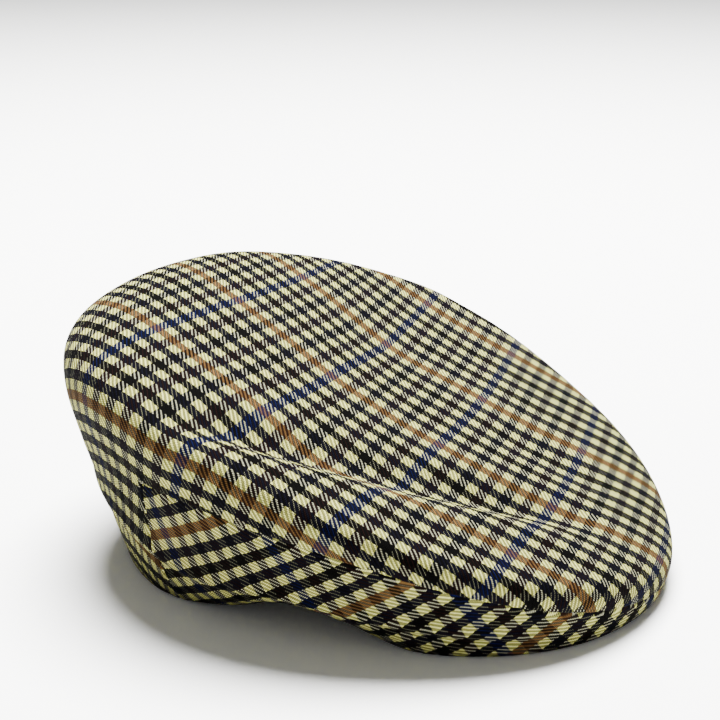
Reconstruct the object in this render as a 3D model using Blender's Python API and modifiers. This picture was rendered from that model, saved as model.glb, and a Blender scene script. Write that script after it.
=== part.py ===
# A soft flat cap of checked wool twill, resting on a table by its rear hem and the edge of its peak.
# Metres, +Z up, +X towards the front of the cap, the origin under the middle of its outline on the table.

import math

import bmesh
import bpy
import numpy as np
from mathutils import Matrix

# Driving sizes of the cap, measured on the inner face of the cloth
CAP_LENGTH = 0.281
CAP_WIDTH = 0.240
CAP_HEIGHT = 0.106
OPENING_LENGTH = 0.200
OPENING_WIDTH = 0.166
OPENING_SETBACK = 0.010
CLOTH = 0.0018
SEAM_GAP = 0.0006
REAR_SEAM_ANGLE = math.radians(128)
FRONT_SEAM_ANGLE = math.radians(0.12)

# The stiff peak under the front
PEAK_THICKNESS = 0.003
PEAK_FLAT = 0.016
PEAK_ARCH = 0.010
PEAK_ARCH_POWER = 1.3
PEAK_ROOT_ANGLE = math.radians(62)

# How the crown is domed, how far its outline has slumped across one diagonal and drawn in at both left
# corners (shares of its reach), and how much higher its left side stands than its middle
CROWN_CROSS_FALL = 0.001
SHOULDER_POWER = 3.2
SLUMP_RATIO = 0.012
CORNER_RATIO = 0.050
CROWN_LEAN = 0.0100
HEM_SINK = 0.0015

# The main crease in the crown: how deep at its middle, how wide to each side, how it fades to its ends
# and how soon all folds end before the bulge
FOLD_DEPTH = 0.0095
FOLD_WIDTH = 0.0085
FOLD_FADE_POWER = 0.6
FOLD_EDGE_POWER = 12

# How finely the cloth is divided: columns beside and behind, rings on the top, the flank and the wall,
# and the columns to each side and the rows of the peak
SIDE_COLUMNS = 20
BACK_COLUMNS = 9
TOP_RINGS = 11
FLANK_RINGS = 4
WALL_RINGS = 6
PEAK_COLUMNS = 14
PEAK_ROWS = 6

# The crown's height along its middle line: place from the middle (share of half the length, back to
# front) and height (share of the cap's height)
SPINE = [
    # place, height
    (-1.00, 1.15),
    (-0.72, 1.13),
    (-0.35, 0.96),
    (0.00, 0.75),
    (0.35, 0.57),
    (0.70, 0.40),
    (1.00, 0.25),
]

# The outline at each direction from the middle, in degrees from the front, the same on both sides.
# Outward places are shares of the oval of the cap's length and width, heights are shares of its height.
OUTLINE = [
    # angle, bulge out, bulge up, seam out, seam up, fold out, fold up, hem out, hem up
    (0, 1.000, 0.12, 0.985, 0.05, 0.980, 0.025, 0.965, 0.00),
    (30, 1.000, 0.27, 0.985, 0.15, 0.970, 0.070, 0.955, 0.00),
    (60, 1.000, 0.51, 0.950, 0.33, 0.910, 0.130, 0.870, 0.00),
    (80, 1.000, 0.68, 0.955, 0.45, 0.880, 0.180, 0.775, 0.08),
    (95, 1.000, 0.79, 0.955, 0.51, 0.880, 0.210, 0.745, 0.13),
    (115, 1.000, 0.87, 0.950, 0.56, 0.890, 0.205, 0.790, 0.05),
    (135, 1.000, 0.91, 0.950, 0.58, 0.910, 0.280, 0.830, 0.00),
    (160, 1.015, 0.88, 0.975, 0.60, 0.920, 0.400, 0.835, 0.00),
    (180, 1.025, 0.87, 0.985, 0.60, 0.935, 0.440, 0.850, 0.00),
]
BULGE, SEAM, FOLD, HEM = 1, 3, 5, 7

# Soft folds in the crown: both ends in plan (shares of half the length and half the width, +Y to the
# left), then depth (negative for a ridge) and width as shares of the main crease's
FOLDS = [
    # start x, start y, end x, end y, depth, width
    (-0.52, -0.88, 0.78, -0.23, 1.00, 1.00),
    (-0.42, -1.03, 0.86, -0.40, -0.36, 1.30),
    (-0.21, 0.22, 0.12, 0.46, 0.20, 2.00),
    (0.38, 0.10, 0.80, 0.02, 0.20, 1.60),
]

# Flat colours and roughness of the cloth, and the angle above which an edge is shown sharp
CROWN_COLOUR = (0.30, 0.28, 0.20)
SIDE_COLOUR = (0.26, 0.24, 0.17)
PEAK_COLOUR = (0.20, 0.18, 0.13)
CLOTH_ROUGHNESS = 0.9
SHARP_ANGLE = math.radians(50)


def through_rows(rows, place, column, level_ends):
    """Read a table's column at a place between its rows, along a smooth curve through the rows."""
    keys = [row[0] for row in rows]
    values = [row[column] for row in rows]
    last = len(keys) - 1
    i = min(max(int(np.searchsorted(keys, place)) - 1, 0), last - 1)

    def slope(k):
        if level_ends and k in (0, last):
            return 0.0
        before, after = max(k - 1, 0), min(k + 1, last)
        return (values[after] - values[before]) / (keys[after] - keys[before])

    span = keys[i + 1] - keys[i]
    t = min(max((place - keys[i]) / span, 0.0), 1.0)
    return (values[i] * (1 + 2 * t) * (1 - t) ** 2 + slope(i) * span * t * (1 - t) ** 2
            + values[i + 1] * t * t * (3 - 2 * t) - slope(i + 1) * span * t * t * (1 - t))


def oval_reach(angle):
    """Distance from the middle to the slumped oval of the cap's length and width."""
    oval = 1 / math.hypot(math.cos(angle) / (CAP_LENGTH / 2), math.sin(angle) / (CAP_WIDTH / 2))
    corner = math.sin(angle) * math.cos(angle) ** 2
    return oval * (1 - SLUMP_RATIO * math.sin(2 * angle) - CORNER_RATIO * corner)


def outline_point(angle, contour):
    """Outward distance and height of a contour at a direction from the middle."""
    degrees = abs(math.degrees(math.remainder(angle, 2 * math.pi)))
    reach = oval_reach(angle) * through_rows(OUTLINE, degrees, contour, True)
    height = CAP_HEIGHT * through_rows(OUTLINE, degrees, contour + 1, True)
    if contour == BULGE:
        height += CROWN_LEAN * math.sin(angle)
    return reach, height


def spine_height(x):
    return CAP_HEIGHT * through_rows(SPINE, x / (CAP_LENGTH / 2), 1, False)


def fold_depth(x, y):
    """How far the folds press the crown down at a place in plan."""
    depth = 0.0
    for start_x, start_y, end_x, end_y, deepest, width in FOLDS:
        ax, ay = start_x * CAP_LENGTH / 2, start_y * CAP_WIDTH / 2
        bx, by = end_x * CAP_LENGTH / 2, end_y * CAP_WIDTH / 2
        run = math.hypot(bx - ax, by - ay)
        along = ((x - ax) * (bx - ax) + (y - ay) * (by - ay)) / run ** 2
        across = ((x - ax) * (by - ay) - (y - ay) * (bx - ax)) / run
        fade = max(0.0, math.sin(math.pi * min(max(along, 0.0), 1.0))) ** FOLD_FADE_POWER
        depth += deepest * fade * math.exp(-(across / (width * FOLD_WIDTH)) ** 2)
    return FOLD_DEPTH * depth


def top_point(angle, share):
    """A point on the crown's top, at a share of the way from the middle to the bulge."""
    reach, bulge_height = outline_point(angle, BULGE)
    out = math.sin(share * math.pi / 2)
    x, y = out * reach * math.cos(angle), out * reach * math.sin(angle)
    edge_x, edge_y = reach * math.cos(angle), reach * math.sin(angle)

    def domed(px, py):
        across = 2 * py / CAP_WIDTH
        return spine_height(px) - CROWN_CROSS_FALL * across ** 2 + CROWN_LEAN * across

    shoulder = 1 - (1 - out ** SHOULDER_POWER) ** (1 / SHOULDER_POWER)
    z = domed(x, y) - (domed(edge_x, edge_y) - bulge_height) * shoulder
    return x, y, z - fold_depth(x, y) * (1 - out ** FOLD_EDGE_POWER)


def eased(start, end, start_run, end_run, share):
    """A point on the smooth curve from start to end that leaves and arrives along the two runs."""
    t = share
    return [p * (1 + 2 * t) * (1 - t) ** 2 + r * t * (1 - t) ** 2
            + q * t * t * (3 - 2 * t) - s * t * t * (1 - t)
            for p, q, r, s in zip(start, end, start_run, end_run)]


def half_run(before, after):
    return [(q - p) / 2 for p, q in zip(before, after)]


def flank_point(angle, share):
    """Between the bulge and the seam's level, leaving the bulge straight down."""
    bulge, seam, fold = (outline_point(angle, contour) for contour in (BULGE, SEAM, FOLD))
    out, up = eased(bulge, seam, (0.0, seam[1] - bulge[1]), half_run(bulge, fold), share)
    return out * math.cos(angle), out * math.sin(angle), up


def lower_point(angle, share):
    """Between the seam's level and the hem, past the soft fold in the wall."""
    bulge, seam, fold, hem = (outline_point(angle, contour) for contour in (BULGE, SEAM, FOLD, HEM))
    if share <= 0.5:
        out, up = eased(seam, fold, half_run(bulge, fold), half_run(seam, hem), 2 * share)
    else:
        out, up = eased(fold, hem, half_run(seam, hem), half_run(fold, hem), 2 * share - 1)
    return out * math.cos(angle), out * math.sin(angle), up - HEM_SINK * share ** 4


def column_angles():
    """Directions of the columns, from the rear right seam over the front to the rear left, then the back."""
    beside = [REAR_SEAM_ANGLE * k / SIDE_COLUMNS for k in range(-SIDE_COLUMNS, SIDE_COLUMNS + 1)]
    behind_span = 2 * (math.pi - REAR_SEAM_ANGLE)
    behind = [REAR_SEAM_ANGLE + behind_span * k / (2 * BACK_COLUMNS) for k in range(1, 2 * BACK_COLUMNS)]
    return beside, behind


def material(name, colour):
    """A plain cloth material."""
    mat = bpy.data.materials.new(name)
    mat.use_nodes = True
    shader = mat.node_tree.nodes["Principled BSDF"]
    shader.inputs["Base Color"].default_value = (*colour, 1.0)
    shader.inputs["Roughness"].default_value = CLOTH_ROUGHNESS
    shader.inputs["Metallic"].default_value = 0.0
    return mat


def finish_object(name, mesh, collection, mat):
    mesh.materials.append(mat)
    mesh.shade_smooth()
    mesh.set_sharp_from_angle(angle=SHARP_ANGLE)
    obj = bpy.data.objects.new(name, mesh)
    collection.objects.link(obj)
    return obj


def add_wall(obj, thickness, offset):
    wall = obj.modifiers.new("cloth thickness", "SOLIDIFY")
    wall.thickness = thickness
    wall.offset = offset
    wall.use_even_offset = False


def trim_flat(obj, floor_cutter):
    """Cut a piece flat where it stands on the table."""
    cut = obj.modifiers.new("flat underside", "BOOLEAN")
    cut.operation = "DIFFERENCE"
    cut.object = floor_cutter


def make_crown_top(collection, mat):
    """The large panel: the whole top, its flanks down to the side seams, and the back down to the hem."""
    bm = bmesh.new()
    beside, behind = column_angles()
    angles = beside + behind
    count = len(angles)
    middle = bm.verts.new(top_point(0.0, 0.0))
    rings = []
    for k in range(1, TOP_RINGS + 1):
        rings.append([bm.verts.new(top_point(a, k / TOP_RINGS)) for a in angles])
    for k in range(1, FLANK_RINGS + 1):
        rings.append([bm.verts.new(flank_point(a, k / FLANK_RINGS)) for a in angles])
    for i in range(count):
        bm.faces.new((middle, rings[0][i], rings[0][(i + 1) % count]))
    for upper, lower in zip(rings, rings[1:]):
        for i in range(count):
            j = (i + 1) % count
            bm.faces.new((upper[i], lower[i], lower[j], upper[j]))
    back = [len(beside) - 1] + list(range(len(beside), count)) + [0]
    upper = [rings[-1][i] for i in back]
    for k in range(1, WALL_RINGS + 1):
        lower = [bm.verts.new(lower_point(angles[i], k / WALL_RINGS)) for i in back]
        for i in range(len(back) - 1):
            bm.faces.new((upper[i], lower[i], lower[i + 1], upper[i + 1]))
        upper = lower
    mesh = bpy.data.meshes.new("crown_top")
    bm.to_mesh(mesh)
    bm.free()
    obj = finish_object("crown_top", mesh, collection, mat)
    add_wall(obj, CLOTH, 1.0)
    return obj


def make_side_panel(name, side, collection, mat):
    """The band under one side seam; side is -1 for the right and 1 for the left."""
    bm = bmesh.new()
    rows = []
    gap_angle = SEAM_GAP / (CAP_WIDTH / 2)
    angles = [FRONT_SEAM_ANGLE + (REAR_SEAM_ANGLE - gap_angle - FRONT_SEAM_ANGLE) * k / SIDE_COLUMNS
              for k in range(SIDE_COLUMNS + 1)]
    for k in range(WALL_RINGS + 1):
        row = []
        for angle in angles:
            x, y, z = lower_point(side * angle, k / WALL_RINGS)
            if k == 0:
                z -= SEAM_GAP
            row.append(bm.verts.new((x, y, z)))
        rows.append(row)
    for upper, lower in zip(rows, rows[1:]):
        for i in range(SIDE_COLUMNS):
            corners = (upper[i], lower[i], lower[i + 1], upper[i + 1])
            bm.faces.new(corners if side > 0 else corners[::-1])
    mesh = bpy.data.meshes.new(name)
    bm.to_mesh(mesh)
    bm.free()
    obj = finish_object(name, mesh, collection, mat)
    add_wall(obj, CLOTH, 1.0)
    return obj


def make_peak(collection, mat):
    """The stiff crescent from temple to temple, flat near its front edge and arched up at the opening."""
    bm = bmesh.new()
    rows = []
    for k in range(PEAK_ROWS + 1):
        row = []
        for i in range(-PEAK_COLUMNS, PEAK_COLUMNS + 1):
            angle = PEAK_ROOT_ANGLE * i / PEAK_COLUMNS
            outer = outline_point(angle, HEM)[0] - SEAM_GAP
            inner = opening_reach(angle)
            out = inner + (outer - inner) * k / PEAK_ROWS
            arched = max(outer - inner - PEAK_FLAT, PEAK_THICKNESS)
            rise = PEAK_ARCH * max(0.0, 1 - (out - inner) / arched) ** PEAK_ARCH_POWER
            x, y = out * math.cos(angle), out * math.sin(angle)
            row.append(bm.verts.new((x, y, PEAK_THICKNESS / 2 + rise)))
        rows.append(row)
    for inner_row, outer_row in zip(rows, rows[1:]):
        for i in range(2 * PEAK_COLUMNS):
            bm.faces.new((inner_row[i], outer_row[i], outer_row[i + 1], inner_row[i + 1]))
    mesh = bpy.data.meshes.new("peak")
    bm.to_mesh(mesh)
    bm.free()
    obj = finish_object("peak", mesh, collection, mat)
    add_wall(obj, PEAK_THICKNESS, 0.0)
    return obj


def opening_reach(angle):
    """Distance from the middle of the cap to the head opening's oval, which sits back of the middle."""
    half_length, half_width = OPENING_LENGTH / 2, OPENING_WIDTH / 2
    along, across = math.cos(angle) / half_length, math.sin(angle) / half_width
    shift = OPENING_SETBACK / half_length
    a, b, c = along ** 2 + across ** 2, 2 * along * shift, shift ** 2 - 1
    return (-b + math.sqrt(b * b - 4 * a * c)) / (2 * a)


def make_floor_cutter(collection):
    """The table's space, cut off the pieces that stand on it."""
    bpy.ops.mesh.primitive_cube_add(size=1.0, location=(0, 0, -CAP_HEIGHT / 2))
    cutter = bpy.context.active_object
    cutter.name = "table_space"
    cutter.data.transform(Matrix.Diagonal((2 * CAP_LENGTH, 2 * CAP_WIDTH, CAP_HEIGHT, 1)))
    cutter.hide_render = True
    cutter.display_type = "WIRE"
    for owner in cutter.users_collection:
        owner.objects.unlink(cutter)
    collection.objects.link(cutter)
    return cutter


def main():
    for old in list(bpy.data.objects):
        bpy.data.objects.remove(old)
    cap = bpy.data.collections.new("flat_cap")
    cutters = bpy.data.collections.new("cutters")
    bpy.context.scene.collection.children.link(cap)
    bpy.context.scene.collection.children.link(cutters)

    crown_twill = material("crown twill", CROWN_COLOUR)
    side_twill = material("side panel twill", SIDE_COLOUR)
    peak_twill = material("peak twill", PEAK_COLOUR)

    floor_cutter = make_floor_cutter(cutters)
    pieces = [
        make_crown_top(cap, crown_twill),
        make_side_panel("side_panel_right", -1, cap, side_twill),
        make_side_panel("side_panel_left", 1, cap, side_twill),
    ]
    for piece in pieces:
        trim_flat(piece, floor_cutter)
    make_peak(cap, peak_twill)


main()
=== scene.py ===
import math

import bmesh
import bpy
import numpy as np
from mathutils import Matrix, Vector, kdtree, noise


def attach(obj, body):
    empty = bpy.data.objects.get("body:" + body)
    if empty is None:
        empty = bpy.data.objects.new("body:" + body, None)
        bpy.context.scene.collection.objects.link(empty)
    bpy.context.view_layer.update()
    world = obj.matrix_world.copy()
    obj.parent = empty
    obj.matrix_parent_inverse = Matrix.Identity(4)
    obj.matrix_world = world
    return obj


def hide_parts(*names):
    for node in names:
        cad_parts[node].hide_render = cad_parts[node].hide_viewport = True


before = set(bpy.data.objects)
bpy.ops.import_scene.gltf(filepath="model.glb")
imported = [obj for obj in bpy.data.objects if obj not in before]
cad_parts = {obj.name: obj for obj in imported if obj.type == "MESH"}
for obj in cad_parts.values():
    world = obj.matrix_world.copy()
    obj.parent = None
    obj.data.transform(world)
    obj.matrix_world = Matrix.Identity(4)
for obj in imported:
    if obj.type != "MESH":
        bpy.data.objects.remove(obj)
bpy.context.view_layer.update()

# The crown is one large panel of checked wool twill that makes the whole top and carries on down over
# the back to the hem. It is cut from flat cloth, steamed into a dome and sewn to the side panels, and
# lies soft and empty here, with a long crease pressed into its right side.
MM = 0.001
CLOTH = 1.8 * MM
CAP_LENGTH, CAP_WIDTH, CAP_HEIGHT = 0.281, 0.240, 0.106
REAR_SEAM = math.radians(128)
CROWN_CROSS_FALL = 0.001
SHOULDER_POWER = 3.2
SLUMP_RATIO = 0.012
CORNER_RATIO = 0.050
CROWN_LEAN = 0.0100
SPINE = np.array([
    # place from the middle (share of half the length), height (share of the cap's height)
    (-1.00, 1.15),
    (-0.72, 1.13),
    (-0.35, 0.96),
    (0.00, 0.75),
    (0.35, 0.57),
    (0.70, 0.40),
    (1.00, 0.25),
])
OUTLINE = np.array([
    # degrees from the front, then outward share and height share of: bulge, seam, fold, hem
    (0, 1.000, 0.12, 0.985, 0.05, 0.980, 0.025, 0.965, 0.00),
    (30, 1.000, 0.27, 0.985, 0.15, 0.970, 0.070, 0.955, 0.00),
    (60, 1.000, 0.51, 0.950, 0.33, 0.910, 0.130, 0.870, 0.00),
    (80, 1.000, 0.68, 0.955, 0.45, 0.880, 0.180, 0.775, 0.08),
    (95, 1.000, 0.79, 0.955, 0.51, 0.880, 0.210, 0.745, 0.13),
    (115, 1.000, 0.87, 0.950, 0.56, 0.890, 0.205, 0.790, 0.05),
    (135, 1.000, 0.91, 0.950, 0.58, 0.910, 0.280, 0.830, 0.00),
    (160, 1.015, 0.88, 0.975, 0.60, 0.920, 0.400, 0.835, 0.00),
    (180, 1.025, 0.87, 0.985, 0.60, 0.935, 0.440, 0.850, 0.00),
])
BULGE, SEAM, FOLD, HEM = 1, 3, 5, 7
FOLDS = [
    # start x, start y, end x, end y (shares of half the length and width), depth, width across (mm)
    (-0.52, -0.88, 0.78, -0.23, 8.6, 10.0),
    (-0.42, -1.03, 0.86, -0.40, -3.6, 11.0),
    (-0.21, 0.22, 0.12, 0.46, 1.9, 17.0),
    (0.38, 0.10, 0.80, 0.02, 1.9, 13.6),
]
FOLD_END_POWER, FOLD_EDGE_POWER = 0.6, 12


def through_rows(rows, place, column, level_ends):
    """Read a table's column at many places, along a smooth curve through its rows."""
    keys, values = rows[:, 0], rows[:, column]
    slopes = np.empty(len(keys))
    slopes[1:-1] = (values[2:] - values[:-2]) / (keys[2:] - keys[:-2])
    slopes[0] = 0 if level_ends else (values[1] - values[0]) / (keys[1] - keys[0])
    slopes[-1] = 0 if level_ends else (values[-1] - values[-2]) / (keys[-1] - keys[-2])
    i = np.clip(np.searchsorted(keys, place) - 1, 0, len(keys) - 2)
    span = keys[i + 1] - keys[i]
    t = np.clip((place - keys[i]) / span, 0, 1)
    return eased(values[i], values[i + 1], slopes[i] * span, slopes[i + 1] * span, t)


def eased(start, end, start_run, end_run, t):
    """Points on the smooth curve from start to end that leaves and arrives along the two runs."""
    return (start * (1 + 2 * t) * (1 - t) ** 2 + start_run * t * (1 - t) ** 2
            + end * t * t * (3 - 2 * t) - end_run * t * t * (1 - t))


def from_front(angle):
    """Degrees from the cap's front, on either side."""
    return np.degrees(np.abs(np.arctan2(np.sin(angle), np.cos(angle))))


def contour(angle, which):
    """Outward distances and heights of one of the cap's contours at many directions."""
    oval = 1 / np.hypot(np.cos(angle) / (CAP_LENGTH / 2), np.sin(angle) / (CAP_WIDTH / 2))
    slump = SLUMP_RATIO * np.sin(2 * angle)
    corner = CORNER_RATIO * np.sin(angle) * np.cos(angle) ** 2
    out = oval * (1 - slump - corner) * through_rows(OUTLINE, from_front(angle), which, True)
    up = CAP_HEIGHT * through_rows(OUTLINE, from_front(angle), which + 1, True)
    lean = CROWN_LEAN * np.sin(angle) if which == BULGE else 0
    return np.stack([out, up + lean])


def domed(x, y):
    """Height of the crown's plain dome at a place in plan."""
    across = 2 * y / CAP_WIDTH
    spine = CAP_HEIGHT * through_rows(SPINE, x / (CAP_LENGTH / 2), 1, False)
    return spine - CROWN_CROSS_FALL * across ** 2 + CROWN_LEAN * across


def fold_depth(x, y):
    """How far the folds press the crown down at a place in plan."""
    depth = np.zeros_like(x)
    for ax, ay, bx, by, deepest, width in FOLDS:
        ax, bx = ax * CAP_LENGTH / 2, bx * CAP_LENGTH / 2
        ay, by = ay * CAP_WIDTH / 2, by * CAP_WIDTH / 2
        run = math.hypot(bx - ax, by - ay)
        along = ((x - ax) * (bx - ax) + (y - ay) * (by - ay)) / run ** 2
        across = ((x - ax) * (by - ay) - (y - ay) * (bx - ax)) / run
        fade = np.sin(math.pi * np.clip(along, 0, 1)) ** FOLD_END_POWER
        depth += deepest * MM * fade * np.exp(-(across / (width * MM)) ** 2)
    return depth


def surface(angle, level):
    """The cloth's inner face at many directions.

    Level 0 is the crown's middle, 1 the bulge, 2 the seam, 3 the fold round the wall and 4 the hem.
    """
    bulge, seam, fold, hem = (contour(angle, which) for which in (BULGE, SEAM, FOLD, HEM))
    if level <= 1:
        share = math.sin(level * math.pi / 2)
        out = share * bulge[0]
        x, y = out * np.cos(angle), out * np.sin(angle)
        edge = domed(bulge[0] * np.cos(angle), bulge[0] * np.sin(angle))
        shoulder = 1 - (1 - share ** SHOULDER_POWER) ** (1 / SHOULDER_POWER)
        pressed = fold_depth(x, y) * (1 - share ** FOLD_EDGE_POWER)
        up = domed(x, y) - (edge - bulge[1]) * shoulder - pressed
    elif level <= 2:
        drop = np.stack([np.zeros_like(angle), seam[1] - bulge[1]])
        out, up = eased(bulge, seam, drop, (fold - bulge) / 2, level - 1)
    elif level <= 3:
        out, up = eased(seam, fold, (fold - bulge) / 2, (hem - seam) / 2, level - 2)
    else:
        out, up = eased(fold, hem, (hem - seam) / 2, (hem - fold) / 2, level - 3)
    return np.stack([out * np.cos(angle), out * np.sin(angle), up], axis=-1)


def grid_normals(points):
    """Outward normals of a grid of points, rows going down and columns going round to the left."""
    normal = np.cross(np.gradient(points, axis=0), np.gradient(points, axis=1))
    return normal / np.maximum(np.linalg.norm(normal, axis=-1, keepdims=True), 1e-12)


def run_down(points):
    """Distance down each column of a grid, from its first row."""
    steps = np.linalg.norm(np.diff(points, axis=0), axis=-1)
    return np.concatenate([steps[:1] * 0, np.cumsum(steps, axis=0)])


# The pressed fold round the wall stands out and turns in just below. It is firm beside and behind, and
# fades out at the front. Puckers beside the stitches ride on a slow unevenness of the whole cloth.
CREASE_OUT, CREASE_OUT_LEVEL, CREASE_OUT_SPAN = 1.2 * MM, 2.93, 0.13
CREASE_IN, CREASE_IN_LEVEL, CREASE_IN_SPAN = 1.0 * MM, 3.16, 0.12
CREASE_FROM, CREASE_GROWS = 35, 30
SEAM_ROLL = 1.6 * MM
PUCKER, PUCKER_REACH = 0.20 * MM, 6.0 * MM
PUCKER_PER_METRE, FINE_PER_METRE, FINE_SHARE = 130, 310, 0.6
UNEVEN, UNEVEN_PER_METRE = 0.6 * MM, 26
HEM_TURN = 1.85 * MM
EDGE_PACKING = 2.2
SIDE_SEAM_POINTS, REAR_SEAM_POINTS = 900, 300
JOIN_WITHIN = 0.0005 * MM


def seam_line():
    """Points along both side seams and both rear seams."""
    beside = np.linspace(-REAR_SEAM, REAR_SEAM, SIDE_SEAM_POINTS)
    lines = [surface(beside, 2)]
    for end in (-REAR_SEAM, REAR_SEAM):
        levels = np.linspace(2, 4, REAR_SEAM_POINTS)
        lines += [surface(np.array([end]), level) for level in levels]
    return np.concatenate(lines)


def crease(angle, levels):
    """How far out the pressed fold round the cap's wall pushes the cloth, and in just below it."""
    level = np.asarray(levels)[:, None]
    firm = np.clip((from_front(angle) - CREASE_FROM) / CREASE_GROWS, 0, 1)
    out = CREASE_OUT * np.exp(-((level - CREASE_OUT_LEVEL) / CREASE_OUT_SPAN) ** 2)
    return firm * (out - CREASE_IN * np.exp(-((level - CREASE_IN_LEVEL) / CREASE_IN_SPAN) ** 2))


def turn_edges_in(points, outward):
    """Roll the cloth inwards where it is sewn, and pucker it a little beside the stitches."""
    seams = seam_line()
    tree = kdtree.KDTree(len(seams))
    for i, point in enumerate(seams):
        tree.insert(point, i)
    tree.balance()
    shape = points.shape[:2]
    places = [Vector(point) for point in points.reshape(-1, 3)]
    away = np.array([tree.find(place)[2] for place in places]).reshape(shape)
    near = np.clip(SEAM_ROLL - away, 0, SEAM_ROLL)
    inset = SEAM_ROLL - np.sqrt(SEAM_ROLL ** 2 - near ** 2)
    wave = np.array([
        noise.noise(place * PUCKER_PER_METRE) + FINE_SHARE * noise.noise(place * FINE_PER_METRE)
        for place in places
    ])
    uneven = np.array([noise.noise(place * UNEVEN_PER_METRE) for place in places])
    pucker = PUCKER * wave.reshape(shape) * np.exp(-(away / PUCKER_REACH) ** 2)
    moved = outward + pucker + UNEVEN * uneven.reshape(shape) - inset
    shaped = points + grid_normals(points) * moved[..., None]
    shaped[..., 2] = np.maximum(shaped[..., 2], HEM_TURN)
    return shaped


def closer_at_start(first, last, count):
    """Levels or angles from first to last, packed closely by the sewn edge that they start from."""
    return first + (last - first) * np.linspace(0, 1, count) ** EDGE_PACKING


def finish_piece(name, bm):
    """A piece in the scene from its finished mesh."""
    mesh = bpy.data.meshes.new(name)
    bm.to_mesh(mesh)
    bm.free()
    piece = bpy.data.objects.new(name, mesh)
    bpy.context.scene.collection.objects.link(piece)
    return piece


def sew_grid(bm, rows, cloth_uv, middle=None):
    """Add a grid of points, with the place of each corner on the flat cloth in the UV map, in mm."""
    layer = bm.loops.layers.uv.get("cloth") or bm.loops.layers.uv.new("cloth")
    verts = [[bm.verts.new(point) for point in row] for row in rows]
    place = {}
    for row, marks in zip(verts, cloth_uv):
        place.update(zip(row, marks))
    faces = []
    if middle is not None:
        centre = bm.verts.new(middle[0])
        place[centre] = middle[1]
        faces += [bm.faces.new((centre, *pair)) for pair in zip(verts[0], verts[0][1:])]
    for upper, lower in zip(verts, verts[1:]):
        for i in range(len(upper) - 1):
            faces.append(bm.faces.new((upper[i], lower[i], lower[i + 1], upper[i + 1])))
    for face in faces:
        face.smooth = True
        for loop in face.loops:
            loop[layer].uv = place[loop.vert]


def linear(hex_colour):
    """An sRGB hex colour as linear red, green, blue and alpha."""
    parts = [int(hex_colour[i:i + 2], 16) / 255 for i in (1, 3, 5)]
    return (*[c / 12.92 if c <= 0.04045 else ((c + 0.055) / 1.055) ** 2.4 for c in parts], 1.0)


def add_node(tree, kind, *inputs, named=(), **settings):
    """Add a node with its settings; an input is a value, an output, or a node's first output."""
    node = tree.nodes.new("ShaderNode" + kind)
    for key, value in settings.items():
        setattr(node, key, value)
    for socket, value in (*enumerate(inputs), *dict(named).items()):
        if isinstance(value, bpy.types.Node):
            value = value.outputs[0]
        if isinstance(value, bpy.types.NodeSocket):
            tree.links.new(value, node.inputs[socket])
        else:
            node.inputs[socket].default_value = value
    return node


# The check repeats every 58.4 mm, in six checks of eight light and eight dark threads each. The weave
# shows more of the lengthwise threads, and a light thread that crosses dark ones gets painted shade that is
# darker and steeper towards its edges, so it looks thin.
REPEAT, CHECKS = 58.4, 6
THREADS = 16 * CHECKS
# The weft is the same cream yarn as the warp, painted darker and more olive as shade, so that the twill ribs
# show in the light checks.
CREAM_WARP, SHADED_CREAM_WEFT = "#cccb78", "#848444"
LENGTHWISE = ["#664a28", "#06060f", "#030302", "#06060f", "#030302", "#06060f"]
CROSSWISE = ["#070d33", "#160907", "#030302", "#160907", "#030302", "#160907"]
# Painted shade: a light thread that crosses dark ones gets a darker colour, warp then weft, and its shade
# falls off more steeply towards its edges.
PALE_SHADED_BESIDE_DARK = ("#9e9d84", "#6c6b58")
EDGE_SHADE_POWERS = (2.2, 3.0)
FIRST_STRIPE = 0.75
LIGHT_TONE, DARK_TINT_GAIN = 0.15, 12.0
WOOL_DARKEST, WOOL_RANGE = 0.87, 0.26
WARP_CROWDING = 0.45
TAN_VEIL, DARK_SHOWN = 3.0, 0.5
DRIFT, DRIFT_PER_MM = 1.3, 0.09
FUZZ, FUZZ_PER_MM = 0.35, 3.4
RIB_HEIGHT, RIB_STRENGTH = 0.16 * MM, 0.9
# The valleys between threads keep this share of a thread's colour as painted shade; the float's arch shapes
# both the bump and that shade.
VALLEY_SHADE, FLOAT_ARCH = 0.08, 0.6
TWILL_ROUGHNESS, TWILL_SPECULAR = 0.95, 0.02


def thread_colour(tree, index, cream, darks):
    """A thread's colour, whether it is light, how fair its wool is and its tone, by its count."""
    middle = add_node(tree, "Math", index, 0.5, operation="ADD")
    turn = add_node(tree, "Math", middle, THREADS, operation="DIVIDE")
    moved = add_node(tree, "Math", turn, FIRST_STRIPE / CHECKS, operation="ADD")
    ramp = add_node(tree, "ValToRGB", add_node(tree, "Math", moved, operation="FRACT"))
    ramp.color_ramp.interpolation = "CONSTANT"
    stops = ramp.color_ramp.elements
    colours = [colour for dark in darks for colour in (cream, dark)]
    while len(stops) < len(colours):
        stops.new(0.5)
    for k, colour in enumerate(colours):
        stops[k].position = k / len(colours)
        stops[k].color = linear(colour)
    tone = add_node(tree, "RGBToBW", ramp)
    light = add_node(tree, "Math", tone, LIGHT_TONE, operation="GREATER_THAN")
    wool = add_node(tree, "TexWhiteNoise", named={"W": index}, noise_dimensions="1D").outputs["Value"]
    fair = add_node(tree, "Math", wool, WOOL_RANGE, WOOL_DARKEST, operation="MULTIPLY_ADD")
    return ramp, light, fair, tone


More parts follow.
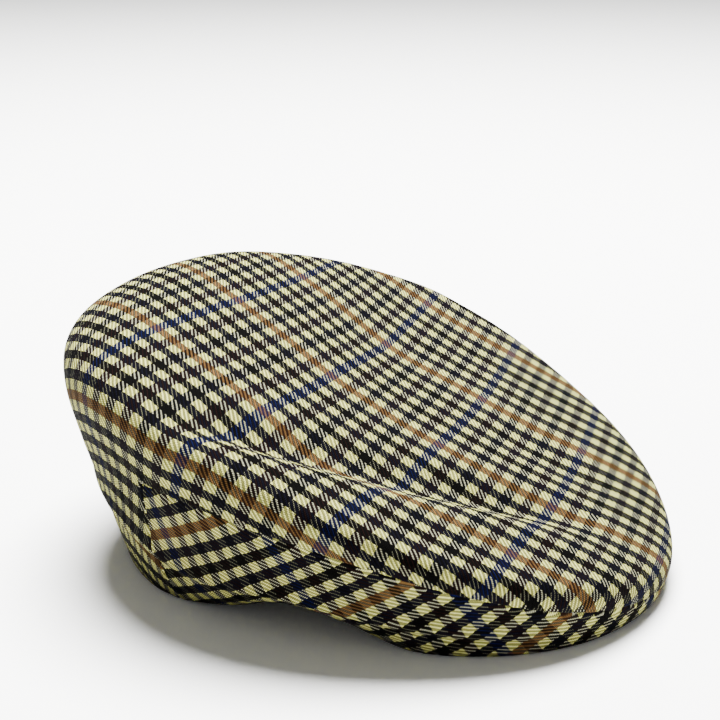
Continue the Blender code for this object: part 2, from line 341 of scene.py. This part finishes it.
def thread_seen(tree, thread, other, height, pale, edge_shade_power):
    """The colour of a thread where it lies on top, tinted by the threads that it crosses, and darkened with
    painted shade towards its edges and ends, more steeply for a light thread that crosses dark ones.
    """
    colour, light, fair, tone = thread
    dark = add_node(tree, "Math", 1.0, light, operation="SUBTRACT")
    other_dark = add_node(tree, "Math", 1.0, other[1], operation="SUBTRACT")
    lone = add_node(tree, "Math", light, other_dark, operation="MULTIPLY")
    both_dark = add_node(tree, "Math", dark, other_dark, operation="MULTIPLY")
    other_tint = add_node(tree, "Math", other[3], TAN_VEIL, operation="MULTIPLY", use_clamp=True)
    veil = add_node(tree, "Math", lone, other_tint, operation="MULTIPLY")
    tint = add_node(tree, "Math", tone, DARK_TINT_GAIN, operation="MULTIPLY")
    full_tint = add_node(tree, "Math", tint, 1.0, operation="MINIMUM")
    coloured = add_node(tree, "Math", both_dark, full_tint, operation="MULTIPLY")
    shown = add_node(tree, "Math", coloured, DARK_SHOWN, veil, operation="MULTIPLY_ADD")
    seen = add_node(tree, "Mix", lone, named={6: colour, 7: linear(pale)}, data_type="RGBA")
    veiled = add_node(tree, "Mix", shown, named={6: seen.outputs[2], 7: other[0]}, data_type="RGBA")
    # Painted shade: the colour darkens from the top of each float down to the valleys between threads; the
    # wool's own random fairness multiplies in.
    height_shade = add_node(tree, "Math", height, 1 - VALLEY_SHADE, VALLEY_SHADE, operation="MULTIPLY_ADD")
    shade_power = add_node(tree, "Math", lone, edge_shade_power, 1.0, operation="MULTIPLY_ADD")
    rounded = add_node(tree, "Math", height_shade, shade_power, operation="POWER")
    fair_and_shade = add_node(tree, "Math", fair, rounded, operation="MULTIPLY")
    return add_node(tree, "VectorMath", veiled.outputs[2], named={"Scale": fair_and_shade}, operation="SCALE")


def float_height(tree, across, along):
    """How high a thread stands where it floats over two others: round across, arched along."""
    centred = add_node(tree, "Math", across, 2.0, -1.0, operation="MULTIPLY_ADD")
    aside = add_node(tree, "Math", centred, operation="ABSOLUTE")
    fallen = add_node(tree, "Math", aside, 2.0, operation="POWER")
    width = add_node(tree, "Math", 1.0, fallen, operation="SUBTRACT")
    turned = add_node(tree, "Math", along, math.pi / 2, operation="MULTIPLY")
    arch = add_node(tree, "Math", turned, operation="SINE")
    length = add_node(tree, "Math", arch, FLOAT_ARCH, operation="POWER")
    return add_node(tree, "Math", width, length, operation="MULTIPLY")


def checked_twill(name):
    """Worsted wool twill, woven 2/2 from dyed yarns: quite matt, with a fine diagonal rib in bump and in
    painted shade.
    """
    mat = bpy.data.materials.new(name)
    mat.use_nodes = True
    tree = mat.node_tree
    places = add_node(tree, "UVMap", uv_map="cloth")
    split = add_node(tree, "SeparateXYZ", places)
    pulls = add_node(tree, "TexNoise", named={"Vector": places, "Scale": DRIFT_PER_MM, "Detail": 3.0})
    drift = add_node(tree, "SeparateXYZ", pulls.outputs["Color"])
    counts, parts = [], []
    for axis in (0, 1):
        moved = add_node(tree, "Math", drift.outputs[axis], DRIFT, split.outputs[axis],
                         operation="MULTIPLY_ADD")
        threads = add_node(tree, "Math", moved, REPEAT / THREADS, operation="DIVIDE")
        counts.append(add_node(tree, "Math", threads, operation="FLOOR"))
        parts.append(add_node(tree, "Math", threads, operation="FRACT"))
    along = thread_colour(tree, counts[1], CREAM_WARP, LENGTHWISE)
    across = thread_colour(tree, counts[0], SHADED_CREAM_WEFT, CROSSWISE)

    both = add_node(tree, "Math", counts[0], counts[1], operation="ADD")
    step = add_node(tree, "Math", both, 4.0, operation="FLOORED_MODULO")
    warp_place = add_node(tree, "Math", step, parts[0], operation="ADD")
    crowded = add_node(tree, "Math", warp_place, WARP_CROWDING, operation="ADD")
    crossing = add_node(tree, "Math", crowded, 4.0, operation="FLOORED_MODULO")
    warp_over = add_node(tree, "Math", crossing, 2 + 2 * WARP_CROWDING, operation="LESS_THAN")
    warp_height = float_height(tree, parts[1], warp_place)
    weft_step = add_node(tree, "Math", step, 2.0, operation="SUBTRACT")
    weft_place = add_node(tree, "Math", weft_step, parts[1], operation="ADD")
    weft_height = float_height(tree, parts[0], weft_place)
    height = add_node(tree, "Mix", warp_over, named={2: weft_height, 3: warp_height})

    warp = thread_seen(tree, along, across, warp_height, PALE_SHADED_BESIDE_DARK[0], EDGE_SHADE_POWERS[0])
    weft = thread_seen(tree, across, along, weft_height, PALE_SHADED_BESIDE_DARK[1], EDGE_SHADE_POWERS[1])
    colour = add_node(tree, "Mix", warp_over, named={6: weft, 7: warp}, data_type="RGBA").outputs[2]
    fuzz = add_node(tree, "TexNoise", named={"Vector": places, "Scale": FUZZ_PER_MM, "Detail": 2.0})
    relief = add_node(tree, "Math", fuzz, FUZZ, height, operation="MULTIPLY_ADD")
    ribs = add_node(tree, "Bump", named={"Height": relief, "Distance": RIB_HEIGHT, "Strength": RIB_STRENGTH})
    shader = tree.nodes["Principled BSDF"]
    tree.links.new(colour, shader.inputs["Base Color"])
    tree.links.new(ribs.outputs[0], shader.inputs["Normal"])
    shader.inputs["Roughness"].default_value = TWILL_ROUGHNESS
    shader.inputs["Specular IOR Level"].default_value = TWILL_SPECULAR
    return mat


def give_thickness(piece, thickness, side):
    """Turn a sheet into cloth: side 1 puts it all outside the sheet, 0 half on each side."""
    wall = piece.modifiers.new("cloth thickness", "SOLIDIFY")
    wall.thickness = thickness
    wall.offset = side
    wall.use_even_offset = False


# How the flat cloth was steamed to the dome: the check bows and skews a little away from the middle,
# and below the shoulder it hangs down the flank.
GRAIN_SLOPE = 1.10
LAY = np.array([
    # repeats of the check at the middle, then per decimetre: forward, left, forward bow, skew, left bow
    (2.215, 1.646, -0.305, 0.121, 0.227, 0.089),
    (3.323, 0.442, 1.724, -0.258, 0.066, -0.059),
])
HANG = np.array([
    # degrees from the front, then how the cloth runs for each mm down the right flank: forward, left
    (0, 1.16, -0.16),
    (60, 0.30, -0.95),
    (95, 0.35, -0.92),
    (125, 0.38, -0.80),
    (150, -0.10, -0.95),
    (180, -0.76, -0.68),
])
HANG_BLEND = 30
MIDDLE = surface(np.array([0.0]), 0)[0]
TOP_ROWS, BACK_ROWS = 112, 40
TOP_COLUMNS, BACK_COLUMNS = 140, 50
DRAWN_TOP, DRAWN_WALL, DRAWN_POWER = 200, 80, 0.7
SHOULDER_SOFTNESS, ROLL_SOFTNESS = 2.4, 5.5
ROLL_AT, ROLL_WIDTH = 75.0, 32.0


def crown_cloth(points, angle, bulge_share, side):
    """Where each point of a half of the crown lies on the flat cloth, in mm.

    The cloth is unrolled outwards from the middle to the bulge, and hangs from there.
    """
    reach = run_down(points)
    reach += np.linalg.norm(points[0] - MIDDLE - (0, 0, CLOTH), axis=-1)
    edge = reach[TOP_ROWS - 1] * bulge_share
    drop = np.maximum(reach - edge, 0) / MM
    reach = np.minimum(reach, edge)
    spread = np.arctan2(np.sin(angle), GRAIN_SLOPE * np.cos(angle))

    def laid(out):
        forward, left = 10 * out * np.cos(spread), 10 * out * np.sin(spread)
        terms = [1 + 0 * forward, forward, left, forward ** 2, forward * left, left ** 2]
        return REPEAT * np.stack(terms, axis=-1) @ LAY.T

    hang = laid(edge) - laid(edge - MM)
    if side < 0:
        turned = from_front(angle)
        pulled = np.stack([through_rows(HANG, turned, column, True) for column in (1, 2)], axis=-1)
        share = np.clip((180 - turned) / HANG_BLEND, 0, 1) * np.clip(turned / HANG_BLEND, 0, 1)
        hang += (pulled - hang) * share[:, None]
    return laid(reach) + drop[..., None] * hang


def softened(rows, spread):
    """A grid with each column rounded off along its length; spread is in rows."""
    reach = int(3 * spread) + 1
    weights = np.exp(-0.5 * (np.arange(-reach, reach + 1) / spread) ** 2)
    ends = [2 * rows[:1] - rows[reach:0:-1], rows, 2 * rows[-1:] - rows[-2:-reach - 2:-1]]
    padded = np.concatenate(ends)
    return sum(w * padded[i:i + len(rows)] for i, w in enumerate(weights / weights.sum()))


def crown_top(angles):
    """The crown from its middle to the seam in even rows, and each column's share above the bulge."""
    above = np.linspace(0.01, 1.0, DRAWN_TOP) ** DRAWN_POWER
    below = np.linspace(1.0, 2.0, DRAWN_WALL)[1:]
    drawn = np.stack([surface(angles, level) for level in (*above, *below)])
    run = run_down(drawn) + np.linalg.norm(drawn[0] - MIDDLE, axis=-1)
    wanted = np.arange(1, TOP_ROWS + 1) / TOP_ROWS
    even = np.empty((TOP_ROWS, len(angles), 3))
    for column in range(len(angles)):
        at = wanted * run[-1, column]
        for axis in range(3):
            even[:, column, axis] = np.interp(at, run[:, column], drawn[:, column, axis])
    firm, full = softened(even, SHOULDER_SOFTNESS), softened(even, ROLL_SOFTNESS)
    rolled = np.exp(-((np.degrees(angles) + ROLL_AT) / ROLL_WIDTH) ** 2)
    return firm + (full - firm) * rolled[None, :, None], run[DRAWN_TOP - 1] / run[-1]


half_turn = np.concatenate([
    np.linspace(0, REAR_SEAM, TOP_COLUMNS),
    closer_at_start(REAR_SEAM, math.pi, BACK_COLUMNS)[1:],
])
half_turn = np.concatenate([-half_turn[1:2], half_turn, 2 * math.pi - half_turn[-2:-1]])
back_levels = np.linspace(2.0, 4.0, BACK_ROWS)[1:]
bm = bmesh.new()
for side in (-1, 1):
    angles = np.sort(side * half_turn)
    top, bulge_share = crown_top(angles)
    rows = np.concatenate([top, np.stack([surface(angles, level) for level in back_levels])])
    outer_face = rows + grid_normals(rows) * CLOTH
    marks = softened(crown_cloth(outer_face, angles, bulge_share, side), SHOULDER_SOFTNESS)
    creased = np.concatenate([np.zeros((TOP_ROWS, len(angles))), crease(angles, back_levels)])
    shaped, marks = turn_edges_in(rows, creased)[:, 1:-1], marks[:, 1:-1]
    sew_grid(bm, shaped[:TOP_ROWS], marks[:TOP_ROWS], (MIDDLE, REPEAT * LAY[:, 0]))
    behind = slice(TOP_COLUMNS - 1, None) if side > 0 else slice(0, BACK_COLUMNS)
    sew_grid(bm, shaped[TOP_ROWS - 1:, behind], marks[TOP_ROWS - 1:, behind])
joins = [vert for vert in bm.verts if vert.is_boundary]
bmesh.ops.remove_doubles(bm, verts=joins, dist=JOIN_WITHIN)
crown = finish_piece("crown", bm)
twill = checked_twill("checked wool twill")
crown.data.materials.append(twill)
give_thickness(crown, CLOTH, 1.0)
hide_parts("crown_top")
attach(crown, "root")

# A side panel is the band under each side seam, cut from the same cloth on a turned grain, so that its
# stripes meet the crown's in a chevron. It is tall behind, runs out at the front and is sewn at its
# foot to the hem and the edge of the peak.
GRAIN_TURN, GRAIN_TURN_PER_MM = math.radians(21.0), math.radians(0.115)
TAN_AT, BLUE_AT = (28.5, 48.9), (72.8, 37.2)
FRONT_GAP, REAR_GAP = math.radians(0.12), 0.35 * MM
TUCK, TUCK_LEVELS = 0.9 * MM, 0.10
PANEL_ROWS, PANEL_COLUMNS = 56, 200


def panel_cloth(points):
    """Where each point of a side panel lies on the flat cloth, in mm: a band that bends down forwards."""
    fold = points[len(points) // 2]
    steps = np.linalg.norm(np.diff(fold, axis=0)[:, :2], axis=-1)
    along = np.concatenate([[0], np.cumsum(steps)]) / MM
    height = (points[:1, :, 2] - run_down(points)) / MM

    def on_cloth(s, h):
        angle = GRAIN_TURN + GRAIN_TURN_PER_MM * s
        u = (np.sin(angle) - math.sin(GRAIN_TURN)) / GRAIN_TURN_PER_MM + h * np.sin(angle)
        v = (np.cos(angle) - math.cos(GRAIN_TURN)) / GRAIN_TURN_PER_MM + h * np.cos(angle)
        return u, v

    u, v = on_cloth(along[None, :], height)
    return np.stack([u - on_cloth(*BLUE_AT)[0], v - on_cloth(*TAN_AT)[1]], axis=-1)


def make_side_panel(name, side):
    """One side panel; side is -1 for the wearer's right and 1 for the left."""
    angles = closer_at_start(REAR_SEAM - REAR_GAP / (CAP_WIDTH / 2), FRONT_GAP, PANEL_COLUMNS)
    levels = closer_at_start(2.0, 4.0, PANEL_ROWS)
    rows = np.stack([surface(side * angles, level) for level in levels])
    marks = panel_cloth(rows) * (-side, 1)
    if side > 0:
        rows, marks = rows[:, ::-1], marks[:, ::-1]
    tucked = TUCK * np.exp(-((levels - 2) / TUCK_LEVELS) ** 2)[:, None]
    bm = bmesh.new()
    sew_grid(bm, turn_edges_in(rows, crease(angles[::-side], levels) - tucked), marks)
    piece = finish_piece(name, bm)
    piece.data.materials.append(twill)
    give_thickness(piece, CLOTH, 1.0)
    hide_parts("side_panel_right" if side < 0 else "side_panel_left")
    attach(piece, "root")


make_side_panel("right_side", -1)
make_side_panel("left_side", 1)

# The peak is a stiff crescent covered in the same twill, sewn between the crown's front and the side
# panels, with its outer edge resting on the table.
OPENING_LENGTH, OPENING_WIDTH, OPENING_SETBACK = 0.200, 0.166, 0.010
PEAK_THICKNESS, PEAK_FLAT = 3.0 * MM, 16 * MM
PEAK_ARCH, PEAK_ARCH_POWER = 10 * MM, 1.3
PEAK_ROOT = math.radians(62)
PEAK_INSET, PEAK_SLACK = 0.3 * MM, 0.4 * MM
PEAK_ROWS, PEAK_COLUMNS = 22, 121


def opening_reach(angle):
    """How far the oval of the head opening lies from the cap's middle at many directions."""
    along, across = np.cos(angle) / (OPENING_LENGTH / 2), np.sin(angle) / (OPENING_WIDTH / 2)
    shift = OPENING_SETBACK / (OPENING_LENGTH / 2)
    a, b, c = along ** 2 + across ** 2, 2 * along * shift, shift ** 2 - 1
    return (-b + np.sqrt(b * b - 4 * a * c)) / (2 * a)


peak_angles = np.linspace(-PEAK_ROOT, PEAK_ROOT, PEAK_COLUMNS)
peak_inner = opening_reach(peak_angles)
peak_outer = contour(peak_angles, HEM)[0] - PEAK_INSET
arched = np.maximum(peak_outer - peak_inner - PEAK_FLAT, PEAK_THICKNESS)
peak_rows = []
for share in np.linspace(0, 1, PEAK_ROWS):
    out = peak_inner + (peak_outer - peak_inner) * share
    rise = PEAK_ARCH * np.maximum(0, 1 - (out - peak_inner) / arched) ** PEAK_ARCH_POWER
    middle_height = PEAK_THICKNESS / 2 + rise
    peak_rows.append(np.stack([out * np.cos(peak_angles), out * np.sin(peak_angles), middle_height], -1))
peak_rows = np.stack(peak_rows)
bm = bmesh.new()
sew_grid(bm, peak_rows, peak_rows[..., :2] / MM)
peak = finish_piece("peak_cover", bm)
peak.data.materials.append(twill)
give_thickness(peak, PEAK_THICKNESS - PEAK_SLACK, 0.0)
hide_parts("peak")
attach(peak, "root")

# A plain pale table top in matt white paint, which scatters the light evenly and shows no reflection
TABLE_SIDE, TABLE_BELOW = 6.0, 0.0002
PAINT_WHITE, PAINT_ROUGHNESS = "#f4f4f2", 0.9
bpy.ops.mesh.primitive_plane_add(size=TABLE_SIDE, location=(0, 0, -TABLE_BELOW))
table = bpy.context.active_object
table.name = "table_top"
table_paint = bpy.data.materials.new("matt white paint")
table_paint.use_nodes = True
paint_shader = table_paint.node_tree.nodes["Principled BSDF"]
paint_shader.inputs["Base Color"].default_value = linear(PAINT_WHITE)
paint_shader.inputs["Roughness"].default_value = PAINT_ROUGHNESS
table.data.materials.append(table_paint)

# Soft studio light: a large softbox overhead and behind, a faint fill in front and an even pale room
LIGHT_AIM = Vector((0, 0, 0.05))
SOFTBOX_PLACE, SOFTBOX_SIZE, SOFTBOX_POWER = Vector((-0.15, 0.65, 1.9)), 1.3, 470
FILL_PLACE, FILL_SIZE, FILL_POWER = Vector((0.5, -1.3, 0.8)), 1.2, 0.5
ROOM_LIGHT = 0.32


def add_light(name, place, size, power):
    """A round area light that faces the cap."""
    lamp = bpy.data.lights.new(name, "AREA")
    lamp.shape = "DISK"
    lamp.size = size
    lamp.energy = power
    obj = bpy.data.objects.new(name, lamp)
    obj.location = place
    obj.rotation_euler = (LIGHT_AIM - place).to_track_quat("-Z", "Y").to_euler()
    bpy.context.scene.collection.objects.link(obj)


add_light("overhead softbox", SOFTBOX_PLACE, SOFTBOX_SIZE, SOFTBOX_POWER)
add_light("front fill", FILL_PLACE, FILL_SIZE, FILL_POWER)
world = bpy.data.worlds.new("studio")
world.use_nodes = True
world.node_tree.nodes["Background"].inputs[0].default_value = (1, 1, 1, 1)
world.node_tree.nodes["Background"].inputs[1].default_value = ROOM_LIGHT
bpy.context.scene.world = world

# The camera at the photograph's angle: turned from square on to the right side, and looking down
CAMERA_TURN, CAMERA_RAISE = math.radians(16.3), math.radians(23.1)
CAMERA_DISTANCE = 0.705
SENSOR_WIDTH = 36
LOOK_AT = Vector((0, 0, 0.04))
PHOTO_SIDE, CAMERA_FOCUS, LOOK_PIXEL = 720, 1483.6, (373.3, 462.4)
right = Vector((math.cos(CAMERA_TURN), math.sin(CAMERA_TURN), 0))
level_reach = math.cos(CAMERA_RAISE)
away = Vector((
    -math.sin(CAMERA_TURN) * level_reach,
    math.cos(CAMERA_TURN) * level_reach,
    -math.sin(CAMERA_RAISE),
))
up = right.cross(away)
lens = bpy.data.cameras.new("camera")
lens.sensor_width = SENSOR_WIDTH
lens.lens = SENSOR_WIDTH * CAMERA_FOCUS / PHOTO_SIDE
camera = bpy.data.objects.new("camera", lens)
camera.location = LOOK_AT - away * CAMERA_DISTANCE
off_right = (LOOK_PIXEL[0] - PHOTO_SIDE / 2) / CAMERA_FOCUS
off_down = (LOOK_PIXEL[1] - PHOTO_SIDE / 2) / CAMERA_FOCUS
aim = away - right * off_right + up * off_down
camera.rotation_euler = aim.to_track_quat("-Z", "Y").to_euler()
bpy.context.scene.collection.objects.link(camera)
bpy.context.scene.camera = camera
